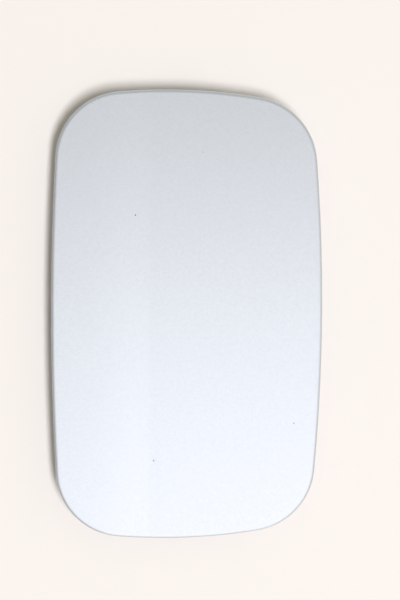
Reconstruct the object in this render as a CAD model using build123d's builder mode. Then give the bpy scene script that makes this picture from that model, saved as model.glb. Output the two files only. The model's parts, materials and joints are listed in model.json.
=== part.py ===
from build123d import *

import os
from math import asin, atan2, cos, degrees, hypot, radians, tan

os.makedirs("parts", exist_ok=True)

# Car fuel door, lying as it sits when shut: +Z points out of the painted face, +Y towards the
# hinged end, and Z = 0 is the plane that the hinge leaf is screwed to. Millimetres and degrees.

# Outline of the door, seen from outside
door_width = 112.0
door_length = 186.0
bow_left = 3.2
bow_right = 4.7
bow_end = 5.9
end_apex_x = -7.4
corner_radius = 28.1

# Crown of the skin: one lengthwise radius, and slopes across the width at five places
skin_height = 14.2
lengthwise_radius = 2600.0
slope_left_edge = 1.7
shoulder_x = -36.0
slope_shoulder = 0.5
line_x = -16.8
line_width = 2.0
slope_above_line = -2.8
slope_below_line = 0.2
slope_right_edge = 0.7

# Sheet metal and hem
skin_sheet = 0.8
inner_sheet = 0.7
hem_clearance = 0.06
hem_return = 8.0
hem_roll = 1.05

# Inner pressing
plateau_height = 9.4
plateau_inset = 14.5
wall_draft = 42.0
press_radius = 1.6
bead_length = 62.0
bead_width = 9.0
bead_depth = 1.3
bead_spread = 27.0
bead_y = -6.0
drain_radius = 4.0
drain_spread = 20.0
drain_y = -6.0

# Hinge: the leaf that is screwed to the car, the bracket on the door, and the pin between them
hinge_edge_gap = 5.6
pivot_height = 5.0
ear_sheet = 1.5
ear_radius = 3.6
ear_gap = 0.9
bracket_width = 38.0
bracket_start = 9.0
bracket_length = 26.0
bracket_flank = 14.0
leaf_sheet = 1.5
leaf_start = 7.4
leaf_length = 33.0
leaf_flank = 18.0
sheet_corner = 4.0
screw_spacing = 28.0
screw_back = 20.0
screw_radius = 2.75
screw_slot = 8.5
pin_radius = 1.75
pin_clearance = 0.03
pin_head_radius = 3.0
pin_head_length = 1.3
pin_head_round = 0.6
pin_tail = 2.2
pin_tail_chamfer = 0.4
bush_wall = 0.6
bush_clearance = 0.03
bush_flange = 0.6
bush_flange_rim = 0.7
clip_sheet = 0.7
clip_radius = 3.2
clip_groove = 0.45
clip_clearance = 0.03
clip_mouth = 2.2

# Spring that pops the door open: its legs press the bracket and the leaf apart
wire_radius = 0.6
coil_turns = 7
coil_pitch = 1.4
spring_leg = 15.0
spring_clearance = 0.05

# Striker, rivets and buffers
striker_width = 16.0
striker_sheet = 1.5
striker_flange = 15.0
striker_edge_gap = 19.0
striker_tongue = 11.0
striker_tip_height = 1.0
striker_bend = 1.0
striker_corner = 3.0
rivet_radius = 1.6
rivet_clearance = 0.03
rivet_head_radius = 2.9
rivet_head_height = 1.1
hinge_rivet_spread = 11.0
hinge_rivet_front = 7.0
hinge_rivet_back = 20.0
striker_rivet_spread = 4.4
buffer_spread = 29.0
buffer_edge_gap = 33.0
buffer_radius = 6.0
buffer_tip_radius = 3.8
buffer_shoulder = 2.4
buffer_neck_radius = 2.6
buffer_bulb_radius = 3.5
buffer_bulb_height = 1.5
buffer_clearance = 0.05

# Sizes and places that follow from the ones above
half_width = door_width / 2
half_length = door_length / 2
margin = 4.0
hem_slot = inner_sheet + 2 * hem_clearance
hem_height = 2 * skin_sheet + hem_slot
rim_depth = skin_sheet + hem_clearance
pivot_y = half_length - hinge_edge_gap
pivot = Axis((0, pivot_y, pivot_height), (1, 0, 0))
bracket_y = pivot_y - bracket_start
bracket_underside = plateau_height - ear_sheet
leaf_y = pivot_y - leaf_start
leaf_ear_inner = bracket_width / 2 + ear_gap
leaf_ear_outer = leaf_ear_inner + ear_sheet
screw_y = leaf_y - screw_back
pin_bore = pin_radius + pin_clearance
bush_radius = pin_bore + bush_wall
groove_radius = pin_radius - clip_groove
groove_width = clip_sheet + 2 * clip_clearance
coil_radius = pivot_height - leaf_sheet - wire_radius - spring_clearance
striker_y = -half_length + striker_edge_gap
striker_underside = plateau_height - striker_sheet
striker_rivet_y = striker_y + striker_flange / 2
buffer_y = -half_length + buffer_edge_gap
rivet_hole = rivet_radius + rivet_clearance
hinge_rivets_at = [
    (side * hinge_rivet_spread, bracket_y - back)
    for side in (-1, 1)
    for back in (hinge_rivet_front, hinge_rivet_back)
]
striker_rivets_at = [(side * striker_rivet_spread, striker_rivet_y) for side in (-1, 1)]
buffers_at = {"buffer_left": (-buffer_spread, buffer_y), "buffer_right": (buffer_spread, buffer_y)}


def bow_radius(half_chord, bow):
    """Radius of an arc from its half chord and the height of its bow."""
    return (half_chord**2 + bow**2) / (2 * bow)


def outline(inset):
    """The door's outline, moved in by a distance: where four large discs meet, with round corners."""
    half_side = half_length - bow_end
    half_end = half_width - (bow_left + bow_right) / 2
    left_radius = bow_radius(half_side, bow_left)
    right_radius = bow_radius(half_side, bow_right)
    end_radius = bow_radius(half_end, bow_end)
    end_centre = half_length - end_radius
    with BuildSketch(mode=Mode.PRIVATE) as face:
        with Locations((left_radius - half_width, 0)):
            Circle(left_radius - inset)
        with Locations(Location((half_width - right_radius, 0), 180)):
            Circle(right_radius - inset, mode=Mode.INTERSECT)
        with Locations((end_apex_x, end_centre)):
            Circle(end_radius - inset, mode=Mode.INTERSECT)
        with Locations((end_apex_x, -end_centre)):
            Circle(end_radius - inset, mode=Mode.INTERSECT)
        fillet(face.vertices(), corner_radius - inset)
    return face.sketch


def below_skin(depth):
    """Everything under the crowned skin, lowered by a depth: tangent arcs turned about a far axis."""
    stations = [
        (-half_width - margin, slope_left_edge),
        (shoulder_x, slope_shoulder),
        (line_x, slope_above_line),
        (line_x + line_width, slope_below_line),
        (half_width + margin, slope_right_edge),
    ]
    heights = [0.0]
    for (x0, slope0), (x1, slope1) in zip(stations, stations[1:]):
        heights.append(heights[-1] + (x1 - x0) * tan(radians((slope0 + slope1) / 2)))
    top = [
        (x, lengthwise_radius + height - heights[2] - depth)
        for (x, _), height in zip(stations, heights)
    ]
    floor = lengthwise_radius - skin_height - margin
    half_turn = degrees(asin((half_length + margin) / lengthwise_radius))
    centre = Vector(0, 0, skin_height - lengthwise_radius)
    turn = Axis(centre, (-1, 0, 0))
    start = Plane(centre, x_dir=(1, 0, 0), z_dir=Vector(0, -1, 0).rotate(Axis.X, half_turn))
    with BuildPart(mode=Mode.PRIVATE) as block:
        with BuildSketch(start):
            with BuildLine():
                for (_, slope), p0, p1 in zip(stations, top, top[1:]):
                    TangentArc(p0, p1, tangent=(1, tan(radians(slope))))
                Polyline(top[-1], (top[-1][0], floor), (top[0][0], floor), top[0])
            make_face()
        revolve(axis=turn, revolution_arc=2 * half_turn)
    return block.part


def crowned_sheet(inset, depth, thickness):
    """A sheet of even thickness at a depth under the skin, inside the outline moved in."""
    with BuildPart(mode=Mode.PRIVATE) as sheet:
        with BuildSketch():
            add(outline(inset))
        extrude(amount=skin_height + margin)
        add(below_skin(depth), mode=Mode.INTERSECT)
        add(below_skin(depth + thickness), mode=Mode.SUBTRACT)
    return sheet.part


slot_space = crowned_sheet(skin_sheet, skin_sheet, hem_slot)
back_space = crowned_sheet(skin_sheet + hem_return, skin_sheet, skin_height)

# Outer panel: crowned skin with its edge rolled over into a hem
with BuildPart() as outer_panel:
    add(crowned_sheet(0, 0, hem_height))
    walls = outer_panel.faces().filter_by(lambda face: abs(face.normal_at().Z) < 0.5)
    rim = walls.edges().filter_by(lambda edge: abs(edge.tangent_at(0.5).Z) < 0.5)
    fillet(rim, hem_roll)
    add(slot_space, mode=Mode.SUBTRACT)
    add(back_space, mode=Mode.SUBTRACT)
outer_panel.part.label = "outer_panel"
export_step(outer_panel.part, "parts/outer_panel.step")


def pressed_dish(lift):
    """Space of the inner pressing's dish and beads, drawn in by a lift for the sheet's far face."""
    draw_in = lift * (1 / cos(radians(wall_draft)) - tan(radians(wall_draft)))
    with BuildPart(mode=Mode.PRIVATE) as dish:
        with BuildSketch(Plane.XY.offset(plateau_height + lift)):
            add(outline(plateau_inset + draw_in))
        extrude(amount=skin_height - plateau_height, taper=-wall_draft)
        fillet(dish.faces().sort_by(Axis.Z)[0].edges(), press_radius + inner_sheet - lift)
        with BuildSketch(Plane.XY.offset(plateau_height + lift)):
            with Locations((-bead_spread, bead_y), (bead_spread, bead_y)):
                SlotOverall(bead_length - 2 * draw_in, bead_width - 2 * draw_in, rotation=90)
        extrude(amount=-bead_depth, taper=wall_draft)
    return dish.part


def ear(front, flank, base, sheet):
    """An ear from the side: a round eye about the pivot, with straight flanks down to its root."""
    with BuildSketch(mode=Mode.PRIVATE) as side_view:
        with Locations((pivot_y, pivot_height)):
            Circle(ear_radius)
        with Locations((front - flank / 2, base + sheet / 2)):
            Rectangle(flank, sheet)
        make_hull()
    return side_view.sketch


def rivet(grip):
    """A round-headed rivet, head down, that holds a stack of sheets of the given thickness."""
    with BuildPart(mode=Mode.PRIVATE) as solid:
        with BuildSketch(Plane.XZ):
            with BuildLine():
                top = (0, grip + rivet_head_height)
                bottom = (0, -rivet_head_height)
                TangentArc(bottom, (rivet_head_radius, 0), tangent=(1, 0))
                Polyline(
                    (rivet_head_radius, 0), (rivet_radius, 0), (rivet_radius, grip), (rivet_head_radius, grip)
                )
                TangentArc(top, (rivet_head_radius, grip), tangent=(1, 0))
                Line(top, bottom)
            make_face()
        revolve(axis=Axis.Z)
    return solid.part


# Inner panel: rim held in the hem, sloping wall, and flat plateau with two stiffening beads
with BuildPart() as inner_panel:
    add(pressed_dish(0))
    add(below_skin(rim_depth), mode=Mode.INTERSECT)
    add(crowned_sheet(rim_depth, rim_depth, inner_sheet))
    add(pressed_dish(inner_sheet), mode=Mode.SUBTRACT)
    with Locations(*hinge_rivets_at, *striker_rivets_at):
        Hole(rivet_hole)
    with Locations(*buffers_at.values()):
        Hole(buffer_neck_radius + buffer_clearance)
    with Locations((0, drain_y + drain_spread), (0, drain_y - drain_spread)):
        Hole(drain_radius)
inner_panel.part.label = "inner_panel"
export_step(inner_panel.part, "parts/inner_panel.step")

# Hinge bracket: plate riveted under the plateau, with two ears that reach out to the pivot
with BuildPart() as hinge_bracket:
    with BuildSketch(Plane.XY.offset(plateau_height)):
        with Locations((0, bracket_y - bracket_length / 2)):
            Rectangle(bracket_width, bracket_length)
    extrude(amount=-ear_sheet)
    fillet(hinge_bracket.edges().filter_by(Axis.Z).group_by(Axis.Y)[0], sheet_corner)
    for side in (-1, 1):
        with BuildSketch(Plane.YZ.offset(side * bracket_width / 2)):
            add(ear(bracket_y, bracket_flank, bracket_underside, ear_sheet))
        extrude(amount=-side * ear_sheet)
    with BuildSketch(Plane.YZ):
        with Locations((pivot_y, pivot_height)):
            Circle(bush_radius + bush_clearance)
    extrude(amount=bracket_width, both=True, mode=Mode.SUBTRACT)
    with Locations(*hinge_rivets_at):
        Hole(rivet_hole)
hinge_bracket.part.label = "hinge_bracket"
export_step(hinge_bracket.part, "parts/hinge_bracket.step")

# Hinge leaf: flat foot with two screw slots, folded under the door, and two upright ears
with BuildPart() as hinge_leaf:
    with BuildSketch():
        with Locations((0, leaf_y - leaf_length / 2)):
            Rectangle(2 * leaf_ear_outer, leaf_length)
        with Locations((-screw_spacing / 2, screw_y), (screw_spacing / 2, screw_y)):
            SlotOverall(screw_slot, 2 * screw_radius, mode=Mode.SUBTRACT)
    extrude(amount=leaf_sheet)
    fillet(hinge_leaf.edges().filter_by(Axis.Z).group_by(Axis.Y)[0], sheet_corner)
    for side in (-1, 1):
        with BuildSketch(Plane.YZ.offset(side * leaf_ear_outer)):
            add(ear(leaf_y, leaf_flank, 0, leaf_sheet))
        extrude(amount=-side * ear_sheet)
    with BuildSketch(Plane.YZ):
        with Locations((pivot_y, pivot_height)):
            Circle(pin_bore)
    extrude(amount=2 * leaf_ear_outer, both=True, mode=Mode.SUBTRACT)
hinge_leaf.part.label = "hinge_leaf"
export_step(hinge_leaf.part, "parts/hinge_leaf.step")

# Hinge pin: headed at one end, grooved for its clip at the other
head_x = -leaf_ear_outer - pin_head_length
groove_x = leaf_ear_outer + groove_width
tail_x = leaf_ear_outer + pin_tail
with BuildPart() as hinge_pin:
    with BuildSketch(Plane(pivot.position, x_dir=(1, 0, 0), z_dir=(0, -1, 0))):
        with BuildLine():
            Polyline(
                (head_x, 0),
                (head_x, pin_head_radius),
                (-leaf_ear_outer, pin_head_radius),
                (-leaf_ear_outer, pin_radius),
                (leaf_ear_outer, pin_radius),
                (leaf_ear_outer, groove_radius),
                (groove_x, groove_radius),
                (groove_x, pin_radius),
                (tail_x, pin_radius),
                (tail_x, 0),
                close=True,
            )
        make_face()
    revolve(axis=pivot)
    round_edges = hinge_pin.edges().filter_by(GeomType.CIRCLE).group_by(Axis.X)
    fillet(round_edges[0], pin_head_round)
    chamfer(round_edges[-1], pin_tail_chamfer)
hinge_pin.part.label = "hinge_pin"
export_step(hinge_pin.part, "parts/hinge_pin.step")

# Pin clip: open spring ring in the pin's groove
with BuildPart() as pin_clip:
    with BuildSketch(Plane.YZ.offset(leaf_ear_outer + clip_clearance)):
        with Locations((pivot_y, pivot_height)):
            Circle(clip_radius)
            Circle(groove_radius + clip_clearance, mode=Mode.SUBTRACT)
        with Locations((pivot_y - clip_radius / 2, pivot_height)):
            Rectangle(clip_radius, clip_mouth, mode=Mode.SUBTRACT)
    extrude(amount=clip_sheet)
pin_clip.part.label = "pin_clip"
export_step(pin_clip.part, "parts/pin_clip.step")

# Bushes: flanged sleeves in the bracket's ears that run on the pin
for name, side in (("bush_left", -1), ("bush_right", 1)):
    with BuildPart() as bush:
        with BuildSketch(Plane.YZ.offset(side * bracket_width / 2)):
            with Locations((pivot_y, pivot_height)):
                Circle(bush_radius)
                Circle(pin_bore, mode=Mode.SUBTRACT)
        extrude(amount=-side * ear_sheet)
        with BuildSketch(Plane.YZ.offset(side * bracket_width / 2)):
            with Locations((pivot_y, pivot_height)):
                Circle(bush_radius + bush_flange_rim)
                Circle(pin_bore, mode=Mode.SUBTRACT)
        extrude(amount=side * bush_flange)
    bush.part.label = name
    export_step(bush.part, f"parts/{name}.step")

# Torsion spring: close coil about the pin, one leg on the leaf and one under the bracket's edge
plate_rise = bracket_underside - pivot_height
leg_offset = coil_radius + wire_radius + spring_clearance
leg_angle = atan2(bracket_start, plate_rise) + asin(leg_offset / hypot(bracket_start, plate_rise))
first_leg_angle = radians(-90)
turns = coil_turns + degrees(leg_angle - first_leg_angle) / 360
coil_length = coil_pitch * turns
coil_start = Plane((-coil_length / 2, pivot_y, pivot_height), x_dir=(0, 0, -1), z_dir=(1, 0, 0))
coil = coil_start * Helix(coil_pitch, coil_length, coil_radius)
with BuildPart() as torsion_spring:
    with BuildSketch(Plane(coil @ 0, z_dir=coil % 0)):
        Circle(wire_radius)
    sweep(path=coil, is_frenet=True)
    with BuildSketch(Plane(coil @ 0, z_dir=-(coil % 0)), Plane(coil @ 1, z_dir=coil % 1)):
        Circle(wire_radius)
    extrude(amount=spring_leg)
torsion_spring.part.label = "torsion_spring"
export_step(torsion_spring.part, "parts/torsion_spring.step")

# Striker: folded tongue under the free end that the lock bolt slides over
with BuildPart() as striker:
    with BuildSketch(Plane.YZ.offset(-striker_width / 2)):
        with BuildLine():
            FilletPolyline(
                (striker_y + striker_flange, striker_underside),
                (striker_y, striker_underside),
                (striker_y, striker_tip_height),
                (striker_y - striker_tongue, striker_tip_height),
                radius=striker_bend + striker_sheet,
            )
            offset(amount=striker_sheet, side=Side.RIGHT)
        make_face()
    extrude(amount=striker_width)
    ends = striker.edges().filter_by(Axis.Z).group_by(Axis.Y)
    fillet(ends[0] + ends[-1], striker_corner)
    with Locations(*striker_rivets_at):
        Hole(rivet_hole)
striker.part.label = "striker"
export_step(striker.part, "parts/striker.step")

# Rivets: four hold the hinge bracket and two the striker
with BuildPart() as hinge_rivets:
    with Locations(*[(x, y, bracket_underside) for x, y in hinge_rivets_at]):
        add(rivet(ear_sheet + inner_sheet))
hinge_rivets.part.label = "hinge_rivets"
export_step(hinge_rivets.part, "parts/hinge_rivets.step")

with BuildPart() as striker_rivets:
    with Locations(*[(x, y, striker_underside) for x, y in striker_rivets_at]):
        add(rivet(striker_sheet + inner_sheet))
striker_rivets.part.label = "striker_rivets"
export_step(striker_rivets.part, "parts/striker_rivets.step")

# Buffers: rubber cones pushed through the plateau, whose tips reach the mounting plane
for name, (x, y) in buffers_at.items():
    with BuildPart() as buffer:
        with BuildSketch(Plane((x, y, 0), x_dir=(1, 0, 0), z_dir=(0, -1, 0))):
            with BuildLine():
                Polyline(
                    (0, 0),
                    (buffer_tip_radius, 0),
                    (buffer_radius, plateau_height - buffer_shoulder),
                    (buffer_radius, plateau_height),
                    (buffer_neck_radius, plateau_height),
                    (buffer_neck_radius, plateau_height + inner_sheet),
                    (buffer_bulb_radius, plateau_height + inner_sheet),
                    (buffer_neck_radius, plateau_height + inner_sheet + buffer_bulb_height),
                    (0, plateau_height + inner_sheet + buffer_bulb_height),
                    close=True,
                )
            make_face()
        revolve(axis=Axis((x, y, 0), (0, 0, 1)))
    buffer.part.label = name
    export_step(buffer.part, f"parts/{name}.step")
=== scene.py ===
import json
import math

import bpy
import numpy as np
from mathutils import Matrix, Vector


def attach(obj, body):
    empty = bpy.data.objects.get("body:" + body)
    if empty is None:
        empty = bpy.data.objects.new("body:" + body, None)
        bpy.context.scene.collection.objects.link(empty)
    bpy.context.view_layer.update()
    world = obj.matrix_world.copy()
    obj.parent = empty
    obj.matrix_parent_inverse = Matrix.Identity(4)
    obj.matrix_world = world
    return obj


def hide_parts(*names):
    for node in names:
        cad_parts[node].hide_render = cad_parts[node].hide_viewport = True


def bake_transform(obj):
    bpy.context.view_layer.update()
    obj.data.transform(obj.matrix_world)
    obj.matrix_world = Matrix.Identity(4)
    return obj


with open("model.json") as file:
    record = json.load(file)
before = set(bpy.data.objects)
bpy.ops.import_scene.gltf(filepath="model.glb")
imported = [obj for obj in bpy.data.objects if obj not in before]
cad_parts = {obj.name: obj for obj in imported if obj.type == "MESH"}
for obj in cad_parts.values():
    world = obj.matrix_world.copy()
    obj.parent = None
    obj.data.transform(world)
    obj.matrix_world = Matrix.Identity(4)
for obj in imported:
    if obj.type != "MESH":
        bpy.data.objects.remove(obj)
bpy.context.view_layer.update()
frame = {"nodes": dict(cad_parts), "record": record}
nodes = frame["nodes"]
mm = 0.001
joint = frame["record"]["behaviour"]["joints"][0]
pinLine = [value / mm for value in joint["pos_m"][1:]]   # y and z of the hinge pin, mm
dressed = []                                             # each new piece with its finish


def roundedPath(corners, radii, straightSteps, arcSteps=6):
    # A run of straight lines through the corners, each inner corner swapped for an arc that is tangent
    # to both lines. Gives the points and the unit normals on the left of the travel.
    corners = np.array(corners, float)
    points, normals = [], []
    last = corners[0]
    for k in range(1, len(corners)):
        along = corners[k] - corners[k - 1]
        along /= np.linalg.norm(along)
        left = np.array([-along[1], along[0]])
        if k == len(corners) - 1:
            end = corners[k]
        else:
            onward = corners[k + 1] - corners[k]
            onward /= np.linalg.norm(onward)
            turn = math.atan2(along[0] * onward[1] - along[1] * onward[0], along @ onward)
            end = corners[k] - along * radii[k - 1] * abs(math.tan(turn / 2))
        share = np.linspace(0, 1, straightSteps[k - 1] + 1)[:, None]
        points.append(last + (end - last) * share)
        normals.append(np.repeat(left[None], len(share), 0))
        last = end
        if k < len(corners) - 1:
            side = math.copysign(1, turn)
            centre = end + left * side * radii[k - 1]
            angle = turn * np.linspace(0, 1, arcSteps + 1)[1:-1, None]
            spoke = end - centre
            cross = np.array([-spoke[1], spoke[0]])
            arm = spoke * np.cos(angle) + cross * np.sin(angle)
            points.append(centre + arm)
            normals.append(-side * arm / radii[k - 1])
            last = corners[k] + onward * radii[k - 1] * abs(math.tan(turn / 2))
    return np.vstack(points), np.vstack(normals)


def addObject(name, data):
    made = bpy.data.objects.new(name, data)
    bpy.context.scene.collection.objects.link(made)
    return made


def meshFromGrid(name, grid, normals=None, ring=False, places=((0, 0, 0),)):
    # grid[row, column]: columns run round and join up. In a ring the last row joins the first. Otherwise
    # the first and last rows are poles, each one vertex with a fan of triangles. The shape is repeated at
    # each of the places. All in metres.
    rows, columns = grid.shape[:2]
    index = np.arange(rows * columns).reshape(rows, columns)
    if ring:
        above, below = index, np.roll(index, -1, 0)
    else:
        index[0] = index[0, 0]
        index[-1] = index[-1, 0]
        above, below = index[:-1], index[1:]
    quads = np.stack([above, np.roll(above, -1, 1), np.roll(below, -1, 1), below], -1)
    triangles = np.zeros((0, 3), int)
    if not ring:
        triangles = np.vstack([quads[0][:, [0, 2, 3]], quads[-1][:, [0, 1, 2]]])
        quads = quads[1:-1]
    quads = quads.reshape(-1, 4)
    used, flat = np.unique(np.concatenate([quads.ravel(), triangles.ravel()]), return_inverse=True)
    points = grid.reshape(-1, 3)[used]
    quads = flat[: quads.size].reshape(-1, 4)
    triangles = flat[quads.size :].reshape(-1, 3)
    solid = np.vstack([quads[:, [0, 1, 2]], quads[:, [0, 2, 3]], triangles])
    a, b, c = (points[solid[:, k]] - points.mean(0) for k in range(3))
    if np.einsum("ij,ij->", a, np.cross(b, c)) < 0:  # the volume's sign tells which way the faces point
        quads, triangles = quads[:, ::-1], triangles[:, ::-1]
    places = np.array(places, float)
    step = len(points) * np.arange(len(places))[:, None, None]
    quads, triangles = (quads + step).reshape(-1, 4), (triangles + step).reshape(-1, 3)
    points = (points + places[:, None]).reshape(-1, 3)
    mesh = bpy.data.meshes.new(name)
    mesh.vertices.add(len(points))
    mesh.vertices.foreach_set("co", points.astype(np.float32).ravel())
    corners = np.concatenate([quads.ravel(), triangles.ravel()])
    mesh.loops.add(len(corners))
    mesh.loops.foreach_set("vertex_index", corners.astype(np.int32))
    mesh.polygons.add(len(quads) + len(triangles))
    starts = np.concatenate([np.arange(len(quads)) * 4, quads.size + np.arange(len(triangles)) * 3])
    mesh.polygons.foreach_set("loop_start", starts.astype(np.int32))
    mesh.update(calc_edges=True)
    mesh.polygons.foreach_set("use_smooth", np.ones(len(mesh.polygons), bool))
    mesh.validate()
    if normals is not None:
        normals = np.tile(normals.reshape(-1, 3)[used], (len(places), 1))
        mesh.normals_split_custom_set_from_vertices(normals)
    return addObject(name, mesh)


def revolved(name, profile, normals, centre, axis, steps, hollow=False, places=((0, 0, 0),)):
    # The profile's points are (radius, place along the axis). Each goes round the axis:
    # centre + axis * place + radius * (cos a * u + sin a * v), with u and v square to the axis.
    axis = np.array(axis, float)
    u = np.roll(axis, 1)
    v = np.cross(axis, u)
    angle = np.linspace(0, 2 * math.pi, steps, endpoint=False)[:, None]
    spoke = np.cos(angle) * u + np.sin(angle) * v
    grid = np.array(centre, float) + profile[:, None, 1:] * axis + profile[:, None, :1] * spoke
    out = normals[:, None, 1:] * axis + normals[:, None, :1] * spoke
    return meshFromGrid(name, grid * mm, out, ring=hollow, places=np.array(places) * mm)


def dress(piece, body, node, slot):
    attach(piece, body)
    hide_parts(node)
    dressed.append((piece, slot))
    print(piece.name + ":", len(piece.data.polygons), "faces")


doorSkin = {
    "width": 112.0, "length": 186.0,               # mm, over the bowed edges
    "bowLeft": 3.2, "bowRight": 4.7, "bowEnds": 5.9,
    "endApex": -7.4,                               # x at which the ends reach furthest
    "cornerRadius": 28.1,
    "height": 14.2,                                # of the body line, half way along
    "crownRadius": 2600.0,                         # lengthwise
    "stations": [                                  # x, and the slope across the door in degrees
        (-60, 1.7), (-36, 0.5), (-22, -1.9), (-16.8, -3.3), (-14.8, 0.8), (-7, 0.25), (60, 0.7),
    ],
    "lineStation": 3,                              # the station on the body line
    "sheet": 0.8, "hemReturn": 8.0, "hemHeight": 2.42, "sheetEdge": 0.2, "slotEdge": 0.2,
    "rollReach": 1.4, "rollDrop": 0.46,            # the rolled edge: a flat curve above
    "rollUnder": 1.0,                              # and a tighter one below
    "flatInset": 24.0, "middleInset": 60.0,        # rings follow the outline up to the first, then shrink
    "sideSteps": 96, "endSteps": 56, "cornerSteps": 34, "ringSteps": 88, "rollSteps": 16,
    "hemSteps": [1, 6, 1, 4, 1, 24], "hemArcSteps": 8,
}


def doorOutline(p):
    # Four large arcs joined by four corner arcs. Every arc keeps its centre when the outline moves in, so
    # a point is centre + (radius - inset) * outward direction.
    def bowRadius(halfChord, bow):
        return (halfChord**2 + bow**2) / (2 * bow)

    halfWidth, halfLength = p["width"] / 2, p["length"] / 2
    right = bowRadius(halfLength - p["bowEnds"], p["bowRight"])
    left = bowRadius(halfLength - p["bowEnds"], p["bowLeft"])
    end = bowRadius(halfWidth - (p["bowLeft"] + p["bowRight"]) / 2, p["bowEnds"])
    big = [  # counter-clockwise from the right side
        (np.array([halfWidth - right, 0]), right, p["sideSteps"]),
        (np.array([p["endApex"], halfLength - end]), end, p["endSteps"]),
        (np.array([left - halfWidth, 0]), left, p["sideSteps"]),
        (np.array([p["endApex"], end - halfLength]), end, p["endSteps"]),
    ]
    corners = []
    for k in range(4):  # where the two arcs' circles, smaller by the corner's radius, cross
        (c0, r0, _), (c1, r1, _) = big[k], big[(k + 1) % 4]
        r0, r1 = r0 - p["cornerRadius"], r1 - p["cornerRadius"]
        span = np.linalg.norm(c1 - c0)
        unit = (c1 - c0) / span
        foot = (r0**2 - r1**2 + span**2) / (2 * span)
        rise = math.sqrt(r0**2 - foot**2)
        quarter = np.array([(1, 1), (-1, 1), (-1, -1), (1, -1)][k])
        choices = [c0 + unit * foot + s * rise * np.array([-unit[1], unit[0]]) for s in (1, -1)]
        corners.append(max(choices, key=lambda c: c @ quarter))
    centres, radii, angles = [], [], []
    for k in range(4):
        centre, radius, steps = big[k]
        into, out = corners[k - 1] - centre, corners[k] - centre
        after = corners[k] - big[(k + 1) % 4][0]
        a0, a1, a2 = (math.atan2(v[1], v[0]) for v in (into, out, after))
        a1, a2 = a0 + (a1 - a0) % (2 * math.pi), a0 + (a2 - a0) % (2 * math.pi)
        for c, r, start, stop, count in (
            (centre, radius, a0, a1, steps),
            (corners[k], p["cornerRadius"], a1, a2, p["cornerSteps"]),
        ):
            angles.append(np.linspace(start, stop, count, endpoint=False))
            centres.append(np.repeat(c[None], count, 0))
            radii.append(np.full(count, r))
    angles = np.concatenate(angles)
    outward = np.stack([np.cos(angles), np.sin(angles)], -1)
    return np.vstack(centres) + np.concatenate(radii)[:, None] * outward, outward


def skinHeight(p, x, y):
    # Across the door, the sine of the slope runs straight from station to station, so each stretch is a
    # circular arc. That section is swung about a far axis under the door: z = base + sqrt(reach^2 - y^2).
    at = np.array([s[0] for s in p["stations"]], float)
    sine = np.sin(np.radians([s[1] for s in p["stations"]]))
    cosine = np.sqrt(1 - sine**2)
    bend = np.diff(sine) / np.diff(at)
    rise = np.concatenate([[0], np.cumsum((cosine[:-1] - cosine[1:]) / bend)])
    k = np.clip(np.searchsorted(at, x) - 1, 0, len(at) - 2)
    s = sine[k] + (x - at[k]) * bend[k]
    c = np.sqrt(1 - s**2)
    h = rise[k] + (cosine[k] - c) / bend[k] - rise[p["lineStation"]]
    root = np.sqrt((p["crownRadius"] + h) ** 2 - y**2)
    normal = np.stack([-(p["crownRadius"] + h) * s / c / root, y / root, np.ones_like(x)], -1)
    return p["height"] - p["crownRadius"] + root, normal / np.linalg.norm(normal, axis=-1, keepdims=True)


def makeDoorSkin(p):
    # The hem's section, as inset from the edge and depth under the crowned face, is carried round the
    # outline. It starts at the middle of the face, goes down a quarter ellipse, reach * (1 - sin t) and
    # drop * (1 - cos t), then round under the edge and back inside.
    edge, outward = doorOutline(p)
    back, reach, drop = p["sheet"] + p["hemReturn"], p["rollReach"], p["rollDrop"]
    inset = np.linspace(p["middleInset"], reach, p["ringSteps"] + 1)[:-1]
    face = np.stack([inset, 0 * inset], -1)
    t = np.linspace(0, math.pi / 2, p["rollSteps"])[:, None]
    roll = np.hstack([reach * (1 - np.sin(t)), drop * (1 - np.cos(t))])
    rollNormal = np.hstack([-drop * np.sin(t), -reach * np.cos(t)])
    rollNormal /= np.linalg.norm(rollNormal, axis=1, keepdims=True)
    inside, insideNormal = roundedPath(
        [
            (0, drop), (0, p["hemHeight"]), (back, p["hemHeight"]),
            (back, p["hemHeight"] - p["sheet"]), (p["sheet"], p["hemHeight"] - p["sheet"]),
            (p["sheet"], p["sheet"]), (p["middleInset"], p["sheet"]),
        ],
        [p["rollUnder"], p["sheetEdge"], p["sheetEdge"], p["slotEdge"], p["slotEdge"]],
        p["hemSteps"],
        p["hemArcSteps"],
    )
    section = np.vstack([face, roll, inside[1:]])
    sectionNormal = np.vstack([np.repeat([[0, -1.0]], len(face), 0), rollNormal, insideNormal[1:]])
    inset, depth = section[:, 0, None, None], section[:, 1, None]
    ring = edge - np.minimum(inset, p["flatInset"]) * outward
    shrink = (p["middleInset"] - inset) / (p["middleInset"] - p["flatInset"])
    plan = ring * np.minimum(shrink, 1)
    z, up = skinHeight(p, plan[..., 0], plan[..., 1])
    grid = np.concatenate([plan, (z - depth)[..., None]], -1)
    side = np.concatenate([outward, np.zeros((len(outward), 1))], -1)
    normals = -sectionNormal[:, None, :1] * side - sectionNormal[:, None, 1:] * up
    normals /= np.linalg.norm(normals, axis=-1, keepdims=True)
    return meshFromGrid("doorSkin", grid * mm, normals)


dress(makeDoorSkin(doorSkin), "door", "outer_panel", "body_paint")


spring = {
    "wireRadius": 0.6, "coilRadius": 2.85, "pitch": 1.4,
    "wholeTurns": 7, "lastTurn": 183.9,   # degrees past the whole turns
    "leg": 15.0, "tipRound": 0.25,
    "stepsPerTurn": 40, "legSteps": 12, "wireSteps": 14,
}


def held(values, count):
    # The first and the last row, each repeated that many times more.
    return np.vstack([np.repeat(values[:1], count, 0), values, np.repeat(values[-1:], count, 0)])


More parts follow.
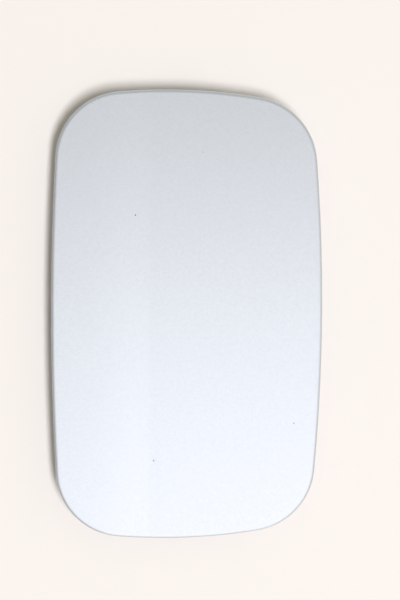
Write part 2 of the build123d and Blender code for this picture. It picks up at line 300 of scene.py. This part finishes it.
def makeSpring(p):
    # A circle carried along a helix about the pin, with a straight leg along the tangent at each end.
    # The circle's axes are the spoke from the pin and the tangent's cross product with it. Each end has
    # a rounded rim and closes at a pole.
    turns = p["wholeTurns"] + p["lastTurn"] / 360
    angle = np.linspace(0, 2 * math.pi * turns, int(p["stepsPerTurn"] * turns))[:, None]
    down, across, along = np.array([0, 0, -1.0]), np.array([0, 1.0, 0]), np.array([1.0, 0, 0])
    spoke = np.cos(angle) * down + np.sin(angle) * across
    start = np.array([-p["pitch"] * turns / 2, *pinLine])
    line = start + p["coilRadius"] * spoke + p["pitch"] * angle / (2 * math.pi) * along
    tangent = p["coilRadius"] * (np.cos(angle) * across - np.sin(angle) * down)
    tangent = tangent + p["pitch"] / (2 * math.pi) * along
    tangent /= np.linalg.norm(tangent, axis=1, keepdims=True)
    legShare = np.linspace(0, 1, p["legSteps"] + 1)[1:, None] * p["leg"]
    line = np.vstack([line[0] - tangent[0] * legShare[::-1], line, line[-1] + tangent[-1] * legShare])
    tip = p["tipRound"] * tangent[[0, -1]]
    line = held(line, 2)
    line[2] += tip[0]
    line[-3] -= tip[1]
    tangent = held(tangent, p["legSteps"] + 2)
    spoke = held(spoke, p["legSteps"] + 2)
    size = np.full(len(line), p["wireRadius"])
    size[[0, -1]] = 0
    size[[1, -2]] = p["wireRadius"] - p["tipRound"]
    around = np.linspace(0, 2 * math.pi, p["wireSteps"], endpoint=False)[None, :, None]
    side = np.cross(tangent, spoke)
    circle = np.cos(around) * spoke[:, None] + np.sin(around) * side[:, None]
    grid = line[:, None] + size[:, None, None] * circle
    return meshFromGrid("torsionSpring", grid * mm)


coil = makeSpring(spring)
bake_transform(coil)
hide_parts("torsion_spring")
dressed.append((coil, "spring_steel"))
print("torsionSpring:", len(coil.data.polygons), "faces")


hingePin = {
    "head": (-22.7, -21.4), "tail": 23.6,           # x of the head's two faces and of the tail
    "headRadius": 3.0, "radius": 1.75, "groove": (21.4, 22.16), "grooveRadius": 1.3,
    "headRound": 0.6, "edge": 0.06, "tailEdge": 0.45,
    "pathSteps": [3, 1, 1, 12, 1, 1, 1, 1, 2], "steps": 56,
}


def makeHingePin(p):
    # A stepped shaft: head, shank, groove for the clip, and tail, with every corner rounded.
    a, b = p["groove"]
    profile, left = roundedPath(
        [
            (0, p["head"][0]), (p["headRadius"], p["head"][0]), (p["headRadius"], p["head"][1]),
            (p["radius"], p["head"][1]), (p["radius"], a), (p["grooveRadius"], a), (p["grooveRadius"], b),
            (p["radius"], b), (p["radius"], p["tail"]), (0, p["tail"]),
        ],
        [p["headRound"]] + [p["edge"]] * 6 + [p["tailEdge"]],
        p["pathSteps"],
    )
    return revolved("hingePin", profile, -left, (0, *pinLine), (1, 0, 0), p["steps"])


dress(makeHingePin(hingePin), "hinge_base", "hinge_pin", "bright_steel")

bushes = {
    "bore": 1.78, "radius": 2.38, "flangeRadius": 3.08,
    "inner": 17.5, "seat": 19.0, "outer": 19.6,     # x on the right-hand side
    "seam": (18.5, 18.6),                           # x of the section's two ends, in the bore
    "edge": 0.14, "root": 0.05, "arcSteps": 5, "steps": 48,
}


def makeBush(p, name, side):
    # A sleeve with a flange: its closed section is carried round the pin.
    section, left = roundedPath(
        [
            (p["bore"], p["seam"][0]), (p["bore"], p["inner"]),
            (p["radius"], p["inner"]), (p["radius"], p["seat"]),
            (p["flangeRadius"], p["seat"]), (p["flangeRadius"], p["outer"]),
            (p["bore"], p["outer"]), (p["bore"], p["seam"][1]),
        ],
        [p["edge"], p["edge"], p["root"], p["edge"], p["edge"], p["edge"]],
        [1] * 7,
        p["arcSteps"],
    )
    section[:, 1] *= side
    normal = -left * np.array([1, side])
    return revolved(name, section, normal, (0, *pinLine), (1, 0, 0), p["steps"], hollow=True)


dress(makeBush(bushes, "bushLeft", -1), "door", "bush_left", "nylon")
dress(makeBush(bushes, "bushRight", 1), "door", "bush_right", "nylon")

rivets = {
    "radius": 1.6, "headRadius": 2.9, "headHeight": 1.1, "grip": 2.2,
    "underside": 7.9,                               # z of the plate that the lower heads press on
    "hinge": [(-11, 71.4), (-11, 58.4), (11, 71.4), (11, 58.4)],
    "striker": [(-4.4, -66.5), (4.4, -66.5)],
    "headSteps": 12, "steps": 40,
}


def makeRivets(p, name, places):
    # Each head is a quarter ellipse turned about the shank: radius * sin t and height * cos t.
    t = np.linspace(0, math.pi / 2, p["headSteps"])[:, None]
    head = np.hstack([p["headRadius"] * np.sin(t), -p["headHeight"] * np.cos(t)])
    normal = np.hstack([p["headHeight"] * np.sin(t), -p["headRadius"] * np.cos(t)])
    normal /= np.linalg.norm(normal, axis=1, keepdims=True)
    shank = np.array([[p["radius"], 0], [p["radius"], p["grip"]]])
    flip = np.array([1, -1])
    profile = np.vstack([head, shank, head[::-1] * flip + (0, p["grip"])])
    normals = np.vstack([normal, [[1, 0], [1, 0]], normal[::-1] * flip])
    spots = [(x, y, p["underside"]) for x, y in places]
    return revolved(name, profile, normals, (0, 0, 0), (0, 0, 1), p["steps"], places=spots)


dress(makeRivets(rivets, "hingeRivets", rivets["hinge"]), "door", "hinge_rivets", "bright_steel")
dress(makeRivets(rivets, "strikerRivets", rivets["striker"]), "door", "striker_rivets", "bright_steel")

buffers = {
    "left": (-29, -60), "right": (29, -60),
    "tipRadius": 3.8, "radius": 6.0, "shoulder": 7.0, "seat": 9.4,
    "neckRadius": 2.6, "bulbRadius": 3.5, "bulb": 10.1, "top": 11.6,
    "rounds": [1.0, 2.5, 0.5, 0.1, 0.1, 0.25, 0.6],  # of the corners from the tip to the top
    "pathSteps": [4, 6, 1, 2, 1, 1, 2, 3], "arcSteps": 8, "steps": 64,
}


def makeBuffer(p, name, spot):
    # A cone with a round tip, a collar, a neck in the sheet and a bulb behind it, turned about one axis.
    profile, left = roundedPath(
        [
            (0, 0), (p["tipRadius"], 0), (p["radius"], p["shoulder"]), (p["radius"], p["seat"]),
            (p["neckRadius"], p["seat"]), (p["neckRadius"], p["bulb"]), (p["bulbRadius"], p["bulb"]),
            (p["neckRadius"], p["top"]), (0, p["top"]),
        ],
        p["rounds"],
        p["pathSteps"],
        p["arcSteps"],
    )
    return revolved(name, profile, -left, (*spot, 0), (0, 0, 1), p["steps"])


dress(makeBuffer(buffers, "bufferLeft", buffers["left"]), "door", "buffer_left", "rubber")
dress(makeBuffer(buffers, "bufferRight", buffers["right"]), "door", "buffer_right", "rubber")

noiseRange = (0.3, 0.7)   # between which nearly all of a noise texture's values lie


def fill(tree, node, inputs):
    for key, value in inputs.items():
        if isinstance(value, bpy.types.NodeSocket):
            tree.links.new(value, node.inputs[key])
        else:
            node.inputs[key].default_value = value


def addNode(tree, kind, inputs=None, **settings):
    made = tree.nodes.new(kind)
    for key, value in settings.items():
        setattr(made, key, value)
    fill(tree, made, inputs or {})
    return made


def newMaterial(name):
    made = bpy.data.materials.new(name)
    made.use_nodes = True
    tree = made.node_tree
    shader = tree.nodes["Principled BSDF"]
    place = addNode(tree, "ShaderNodeTexCoord").outputs["Object"]
    return made, tree, shader, place


def maths(tree, operation, *values, **settings):
    inputs = dict(enumerate(values))
    return addNode(tree, "ShaderNodeMath", inputs, operation=operation, **settings).outputs[0]


def vectorMaths(tree, operation, *values):
    inputs = dict(enumerate(values))
    output = "Value" if operation in ("DOT_PRODUCT", "DISTANCE", "LENGTH") else "Vector"
    return addNode(tree, "ShaderNodeVectorMath", inputs, operation=operation).outputs[output]


def scaled(tree, vector, factor):
    inputs = {0: vector, "Scale": factor}
    return addNode(tree, "ShaderNodeVectorMath", inputs, operation="SCALE").outputs["Vector"]


def ramp(tree, value, low, high, fromLow=0.0, fromHigh=1.0, **settings):
    inputs = {"Value": value, "From Min": fromLow, "From Max": fromHigh, "To Min": low, "To Max": high}
    return addNode(tree, "ShaderNodeMapRange", inputs, **settings).outputs["Result"]


def noise(tree, place, size, detail=2.0, roughness=0.5):
    inputs = {"Vector": place, "Scale": 1 / (size * mm), "Detail": detail, "Roughness": roughness}
    return addNode(tree, "ShaderNodeTexNoise", inputs).outputs["Fac"]


def patches(tree, place, size, most, start, full, detail, roughness=0.5):
    # Noise that counts for nothing up to the start and for the most from the full level on.
    return ramp(tree, noise(tree, place, size, detail, roughness), 0, most, start, full)


def streaks(tree, place, sizes, detail=3.0):
    # Noise whose grain is as long as the sizes say in x, y and z.
    drawn = vectorMaths(tree, "MULTIPLY", place, [1 / (s * mm) for s in sizes])
    inputs = {"Vector": drawn, "Scale": 1.0, "Detail": detail}
    return addNode(tree, "ShaderNodeTexNoise", inputs).outputs["Fac"]


def mixColour(tree, share, one, two):
    # The node's colour sockets come after those for numbers and vectors.
    inputs = {"Factor": share, 6: one, 7: two}
    return addNode(tree, "ShaderNodeMix", data_type="RGBA", inputs=inputs).outputs[2]


def bump(tree, height, distance, normal=None):
    inputs = {"Height": height, "Strength": 1.0, "Distance": distance * mm}
    if normal is not None:
        inputs["Normal"] = normal
    return addNode(tree, "ShaderNodeBump", inputs).outputs["Normal"]


def softEdge(tree, radius):
    return addNode(tree, "ShaderNodeBevel", {"Radius": radius * mm}, samples=6).outputs["Normal"]


bodyPaint = {
    "colour": (0.79, 0.82, 0.88), "metallic": 0.8, "roughness": 0.34,
    "flake": 0.3, "flakeShade": 0.024, "flakeTilt": 0.02,      # mm, share, share
    "mottle": 1.4, "mottleShade": 0.04,
    "coatRoughness": 0.06, "peel": 2.6, "peelDepth": 0.0012,
    "specks": [                                                # x, y, radius
        (-21.5, 41.6, 0.36), (6.2, 67.5, 0.2), (-13.7, -60.2, 0.36), (44.6, -44.7, 0.27),
    ],
    "speckCore": 0.5, "speckColour": (0.05, 0.048, 0.045, 1),  # the core is the share at full strength
}


def makeBodyPaint(p):
    # Silver base with flakes: each Voronoi cell is one flake with its own shade and tilt, under a clear
    # coat whose own surface has a faint orange peel. A few dark specks lie in it.
    made, tree, shader, place = newMaterial("bodyPaint")
    inputs = {"Vector": place, "Scale": 1 / (p["flake"] * mm)}
    cells = addNode(tree, "ShaderNodeTexVoronoi", inputs).outputs["Color"]
    cell = addNode(tree, "ShaderNodeSeparateColor", {"Color": cells}).outputs["Red"]
    shade = ramp(tree, cell, 1 - p["flakeShade"], 1 + p["flakeShade"])
    cloud = ramp(tree, noise(tree, place, p["mottle"]), 1 - p["mottleShade"], 1 + p["mottleShade"])
    colour = scaled(tree, p["colour"], maths(tree, "MULTIPLY", shade, cloud))
    flat = vectorMaths(tree, "MULTIPLY", place, (1, 1, 0))
    dirt = 0.0
    for x, y, radius in p["specks"]:
        away = vectorMaths(tree, "DISTANCE", flat, (x * mm, y * mm, 0))
        spot = ramp(tree, away, 1, 0, radius * p["speckCore"] * mm, radius * mm)
        dirt = maths(tree, "MAXIMUM", spot, dirt)
    facing = addNode(tree, "ShaderNodeNewGeometry").outputs["Normal"]
    tilt = scaled(tree, vectorMaths(tree, "SUBTRACT", cells, (0.5, 0.5, 0.5)), p["flakeTilt"])
    tilt = vectorMaths(tree, "NORMALIZE", vectorMaths(tree, "ADD", facing, tilt))
    fill(tree, shader, {
        "Base Color": mixColour(tree, dirt, colour, p["speckColour"]),
        "Metallic": ramp(tree, dirt, p["metallic"], 0),
        "Roughness": p["roughness"],
        "Normal": tilt,
        "Coat Weight": 1.0,
        "Coat Roughness": p["coatRoughness"],
        "Coat Normal": bump(tree, noise(tree, place, p["peel"]), p["peelDepth"]),
    })
    return made


innerPaint = {
    "primer": (0.36, 0.37, 0.375, 1), "silver": (0.73, 0.75, 0.775, 1),
    "reach": (56.0, 93.0), "cover": (0.5, 1.0), "coverFrom": (0.35, 0.95),
    "cloud": 18.0, "cloudDetail": (5.0, 0.6), "cloudShare": 0.5,   # the share of the cover that varies
    "metallic": (0.08, 0.6), "roughness": (0.62, 0.4),             # with no cover and with full cover
    "dust": {"size": 7.0, "most": 0.3, "start": 0.45, "full": 0.75, "detail": 6.0, "roughness": 0.65},
    "dustColour": (0.45, 0.42, 0.375, 1),
    "grain": 0.35, "grainDepth": 0.010, "softEdge": 0.6,
}


def makeInnerPaint(p):
    # Grey primer under a thin silver mist. The mist's cover grows from the middle to the edge, where the
    # spray came round, and slow noise is added. Thin cover is rougher and less metallic. Dust lies on it.
    made, tree, shader, place = newMaterial("innerPaint")
    shares = (1 / (p["reach"][0] * mm), 1 / (p["reach"][1] * mm), 0)
    far = vectorMaths(tree, "LENGTH", vectorMaths(tree, "MULTIPLY", place, shares))
    cover = ramp(tree, far, *p["cover"], *p["coverFrom"])
    cloud = noise(tree, place, p["cloud"], *p["cloudDetail"])
    cloud = ramp(tree, cloud, -p["cloudShare"], p["cloudShare"])
    cover = maths(tree, "ADD", cover, cloud, use_clamp=True)
    colour = mixColour(tree, cover, p["primer"], p["silver"])
    grain = noise(tree, place, p["grain"])
    fill(tree, shader, {
        "Base Color": mixColour(tree, patches(tree, place, **p["dust"]), colour, p["dustColour"]),
        "Metallic": ramp(tree, cover, *p["metallic"]),
        "Roughness": ramp(tree, cover, *p["roughness"]),
        "Normal": bump(tree, grain, p["grainDepth"], softEdge(tree, p["softEdge"])),
    })
    return made


zincSteel = {
    "cool": (0.60, 0.61, 0.625, 1), "warm": (0.63, 0.60, 0.51, 1),
    "warmPatches": {"size": 4.5, "most": 1.0, "start": 0.35, "full": 0.65, "detail": 3.0},
    "stain": (0.36, 0.345, 0.32, 1),
    "stains": {"size": 2.2, "most": 0.45, "start": 0.5, "full": 0.72, "detail": 6.0, "roughness": 0.7},
    "streak": (0.12, 7.0, 0.12), "streakDepth": 0.004, "roughness": (0.24, 0.46), "softEdge": 0.3,
}


def makeZincSteel(p):
    # Plated sheet: bluish and yellowish passivation in patches, dull stains, and rolling marks along y.
    made, tree, shader, place = newMaterial("zincSteel")
    colour = mixColour(tree, patches(tree, place, **p["warmPatches"]), p["cool"], p["warm"])
    streak = streaks(tree, place, p["streak"])
    fill(tree, shader, {
        "Base Color": mixColour(tree, patches(tree, place, **p["stains"]), colour, p["stain"]),
        "Metallic": 1.0,
        "Roughness": ramp(tree, streak, *p["roughness"], *noiseRange),
        "Normal": bump(tree, streak, p["streakDepth"], softEdge(tree, p["softEdge"])),
    })
    return made


brightSteel = {
    "colour": (0.67, 0.67, 0.68, 1), "dull": (0.46, 0.45, 0.44, 1),
    "dullSpots": {"size": 1.6, "most": 0.6, "start": 0.45, "full": 0.75, "detail": 5.0, "roughness": 0.65},
    "streak": (5.0, 0.08, 0.08), "streakDepth": 0.003, "roughness": (0.18, 0.38),
    "dent": 0.9, "dentDetail": 1.0, "dentDepth": 0.02,
}


def makeBrightSteel(p):
    # Drawn steel: fine lines along x, dull spots, and the slight dents of the riveting tool.
    made, tree, shader, place = newMaterial("brightSteel")
    streak = streaks(tree, place, p["streak"])
    dents = bump(tree, noise(tree, place, p["dent"], p["dentDetail"]), p["dentDepth"])
    fill(tree, shader, {
        "Base Color": mixColour(tree, patches(tree, place, **p["dullSpots"]), p["colour"], p["dull"]),
        "Metallic": 1.0,
        "Roughness": ramp(tree, streak, *p["roughness"], *noiseRange),
        "Normal": bump(tree, streak, p["streakDepth"], dents),
    })
    return made


springSteel = {
    "dark": (0.115, 0.112, 0.115, 1), "worn": (0.33, 0.325, 0.32, 1), "metallic": 0.9,
    "wornSpots": {"size": 1.8, "most": 1.0, "start": 0.42, "full": 0.75, "detail": 5.0, "roughness": 0.65},
    "grain": 0.09, "grainDepth": 0.004, "roughness": (0.28, 0.5),
    "oil": 0.35, "oilRoughness": 0.18,
}


def makeSpringSteel(p):
    # Dark drawn wire with paler, worn spots, a fine grain, and a film of oil over it.
    made, tree, shader, place = newMaterial("springSteel")
    grain = noise(tree, place, p["grain"])
    fill(tree, shader, {
        "Base Color": mixColour(tree, patches(tree, place, **p["wornSpots"]), p["dark"], p["worn"]),
        "Metallic": p["metallic"],
        "Roughness": ramp(tree, grain, *p["roughness"], *noiseRange),
        "Normal": bump(tree, grain, p["grainDepth"]),
        "Coat Weight": p["oil"],
        "Coat Roughness": p["oilRoughness"],
    })
    return made


nylon = {
    "colour": (0.86, 0.85, 0.80, 1), "aged": (0.74, 0.69, 0.57, 1),
    "agedPatches": {"size": 1.5, "most": 0.7, "start": 0.4, "full": 0.75, "detail": 4.0},
    "grain": 0.12, "grainDepth": 0.005, "roughness": (0.38, 0.55),
    "inside": 0.3, "insideColour": (1.0, 0.85, 0.6), "insideDepth": 0.4,   # the light that passes into it
}


def makeNylon(p):
    # Natural nylon, a little yellowed in patches, with a moulded grain and some light passing into it.
    made, tree, shader, place = newMaterial("nylon")
    grain = noise(tree, place, p["grain"])
    fill(tree, shader, {
        "Base Color": mixColour(tree, patches(tree, place, **p["agedPatches"]), p["colour"], p["aged"]),
        "Roughness": ramp(tree, grain, *p["roughness"], *noiseRange),
        "Normal": bump(tree, grain, p["grainDepth"]),
        "Subsurface Weight": p["inside"],
        "Subsurface Radius": p["insideColour"],
        "Subsurface Scale": p["insideDepth"] * mm,
    })
    return made


rubber = {
    "colour": (0.022, 0.022, 0.023, 1), "bloom": (0.085, 0.083, 0.08, 1),
    "blooms": {"size": 2.4, "most": 0.75, "start": 0.42, "full": 0.75, "detail": 6.0, "roughness": 0.65},
    "grain": 0.16, "grainDepth": 0.014, "roughness": (0.58, 0.8),
}


def makeRubber(p):
    # Matt black rubber with a fine moulded grain and a grey bloom in patches, which are rougher.
    made, tree, shader, place = newMaterial("rubber")
    bloom = patches(tree, place, **p["blooms"])
    fill(tree, shader, {
        "Base Color": mixColour(tree, bloom, p["colour"], p["bloom"]),
        "Roughness": ramp(tree, bloom, *p["roughness"], 0, p["blooms"]["most"]),
        "Normal": bump(tree, noise(tree, place, p["grain"]), p["grainDepth"]),
    })
    return made


finishes = {
    "body_paint": makeBodyPaint(bodyPaint),
    "inner_paint": makeInnerPaint(innerPaint),
    "zinc_steel": makeZincSteel(zincSteel),
    "bright_steel": makeBrightSteel(brightSteel),
    "spring_steel": makeSpringSteel(springSteel),
    "nylon": makeNylon(nylon),
    "rubber": makeRubber(rubber),
}
for row in frame["record"]["subparts"]:
    node = nodes[row["node"]]
    if not node.hide_render:
        node.data.materials.clear()
        node.data.materials.append(finishes[row["material_slot"]])
for piece, slot in dressed:
    piece.data.materials.append(finishes[slot])
print("finishes done")


studio = {
    "floorColour": (0.952, 0.902, 0.92, 1), "floorRoughness": 0.9, "floorShine": 0.1,
    "floorSize": 12.0, "floorFade": (0.35, 1.6),    # m, the fade from the middle
    "keyFrom": (0.158, -0.192, 1.0), "keyDistance": 3.0, "keySize": (0.64, 1.4), "keyPower": 64.0,
    "skyBase": 0.32, "skyTilt": (0.09, 0.05, 0.03), "skyLeast": 0.13,
    "lowTilt": (0.26, -0.09, 0.0), "lowFar": 0.36,
    "skyColour": (1.0, 0.985, 0.76, 1), "shineColour": (0.96, 0.965, 0.9, 1),
    "glowColour": (0.998, 1.0, 1.07, 1),
    "glows": [                                      # strength, direction, sharpness
        (1.224, (0.094, -0.335, 1.0), 10.6),
        (0.5, (0.1, -0.95, 1.0), 34.0),
        (-0.11, (0.25, 0.25, 1.0), 30.0),
    ],
    "backdrop": (0.93, 0.90, 0.875, 1),
    "backdropHeights": (0.05, 0.4),                 # reflections see it up to the first, then less and less
}


def makeFloor(p):
    half = p["floorSize"] / 2
    mesh = bpy.data.meshes.new("floor")
    corners = [(-half, -half, 0), (half, -half, 0), (half, half, 0), (-half, half, 0)]
    mesh.from_pydata(corners, [], [(0, 1, 2, 3)])
    made = addObject("floor", mesh)
    paper, tree, shader, place = newMaterial("paleFloor")
    fill(tree, shader, {
        "Base Color": p["floorColour"],
        "Roughness": p["floorRoughness"],
        "Specular IOR Level": p["floorShine"],
    })
    # Far from the door, the camera sees the floor turn into the plain backdrop.
    away = vectorMaths(tree, "LENGTH", place)
    fade = ramp(tree, away, 0, 1, *p["floorFade"], interpolation_type="SMOOTHSTEP")
    fade = maths(tree, "MULTIPLY", fade, addNode(tree, "ShaderNodeLightPath").outputs["Is Camera Ray"])
    plain = addNode(tree, "ShaderNodeEmission", {"Color": p["backdrop"], "Strength": 1.0}).outputs[0]
    both = addNode(tree, "ShaderNodeMixShader", {0: fade, 1: shader.outputs[0], 2: plain}).outputs[0]
    tree.links.new(both, tree.nodes["Material Output"].inputs["Surface"])
    mesh.materials.append(paper)


def lookFrom(away):
    # The turn of a lamp or camera that looks against this direction, with +y up in its picture.
    right = Vector((0, 1, 0)).cross(away).normalized()
    return Matrix((right, away.cross(right), away)).transposed()


def makeKey(p):
    lamp = bpy.data.lights.new("key", "AREA")
    lamp.shape = "ELLIPSE"
    lamp.size, lamp.size_y = p["keySize"]
    lamp.energy = p["keyPower"]
    key = addObject("key", lamp)
    away = Vector(p["keyFrom"]).normalized()
    key.location = away * p["keyDistance"]
    key.rotation_euler = lookFrom(away).to_euler()
    key.visible_glossy = False


def makeSky(p):
    # The sky's brightness is a base plus the direction's dot product with a tilt. Reflections also see it
    # darker low on the left and brighter low beyond the hinge, which fades out overhead. They see the key
    # as a soft glow, with a smaller one below it and a faint dim patch at the upper right, each of them
    # strength * (direction . from)^sharpness. The camera sees a plain pale backdrop, and so do
    # reflections near the horizon.
    world = bpy.data.worlds.new("softSky")
    bpy.context.scene.world = world
    world.use_nodes = True
    tree = world.node_tree
    path = addNode(tree, "ShaderNodeLightPath").outputs
    shine = path["Is Glossy Ray"]
    way = addNode(tree, "ShaderNodeTexCoord").outputs["Generated"]
    height = vectorMaths(tree, "DOT_PRODUCT", way, (0, 0, 1))
    level = maths(tree, "ADD", vectorMaths(tree, "DOT_PRODUCT", way, p["skyTilt"]), p["skyBase"])
    far = maths(tree, "MAXIMUM", vectorMaths(tree, "DOT_PRODUCT", way, (0, 1, 0)), 0.0)
    low = vectorMaths(tree, "DOT_PRODUCT", way, p["lowTilt"])
    low = maths(tree, "MULTIPLY_ADD", far, p["lowFar"], low)
    low = maths(tree, "MULTIPLY", low, ramp(tree, height, 1, 0))
    level = maths(tree, "MULTIPLY_ADD", low, shine, level)
    level = maths(tree, "MAXIMUM", level, p["skyLeast"])
    glow = 0.0
    for strength, direction, sharpness in p["glows"]:
        near = vectorMaths(tree, "DOT_PRODUCT", way, Vector(direction).normalized())
        near = maths(tree, "POWER", maths(tree, "MAXIMUM", near, 0.0), sharpness)
        glow = maths(tree, "MULTIPLY_ADD", near, strength, glow)
    glow = maths(tree, "MULTIPLY", maths(tree, "MAXIMUM", glow, 0.0), shine)
    sky = tree.nodes["Background"]
    tint = mixColour(tree, shine, p["skyColour"], p["shineColour"])
    fill(tree, sky, {"Color": tint, "Strength": level})
    glow = addNode(tree, "ShaderNodeBackground", {"Color": p["glowColour"], "Strength": glow}).outputs[0]
    light = addNode(tree, "ShaderNodeAddShader", {0: sky.outputs[0], 1: glow}).outputs[0]
    plain = addNode(tree, "ShaderNodeBackground", {"Color": p["backdrop"], "Strength": 1.0}).outputs[0]
    seen = maths(tree, "MULTIPLY", ramp(tree, height, 1, 0, *p["backdropHeights"]), shine)
    for kind in ("Is Camera Ray", "Is Transmission Ray"):
        seen = maths(tree, "MAXIMUM", seen, path[kind])
    both = addNode(tree, "ShaderNodeMixShader", {0: seen, 1: light, 2: plain}).outputs[0]
    tree.links.new(both, tree.nodes["World Output"].inputs["Surface"])


camera = {
    "centre": (0.0, 0.0, 12.8),         # the panel's middle, mm
    "leanLeft": 3.64, "leanTop": 4.56,  # degrees off the vertical
    "distance": 800.0, "lens": 116.1, "roll": 0.237,
    "shift": (0.0215, 0.0265),
    "clips": (0.01, 20.0),              # m
}


def makeCamera(p):
    made = bpy.data.cameras.new("camera")
    made.lens = p["lens"]
    made.shift_x, made.shift_y = p["shift"]
    made.clip_start, made.clip_end = p["clips"]
    cam = addObject("camera", made)
    left, top = math.tan(math.radians(p["leanLeft"])), math.tan(math.radians(p["leanTop"]))
    away = Vector((-left, top, 1)).normalized()
    cam.location = (Vector(p["centre"]) + away * p["distance"]) * mm
    roll = Matrix.Rotation(math.radians(p["roll"]), 3, "Z")
    cam.rotation_euler = (lookFrom(away) @ roll).to_euler()
    bpy.context.scene.camera = cam


makeFloor(studio)
makeKey(studio)
makeSky(studio)
makeCamera(camera)
bpy.context.scene.view_settings.view_transform = "Standard"
print("studio done")
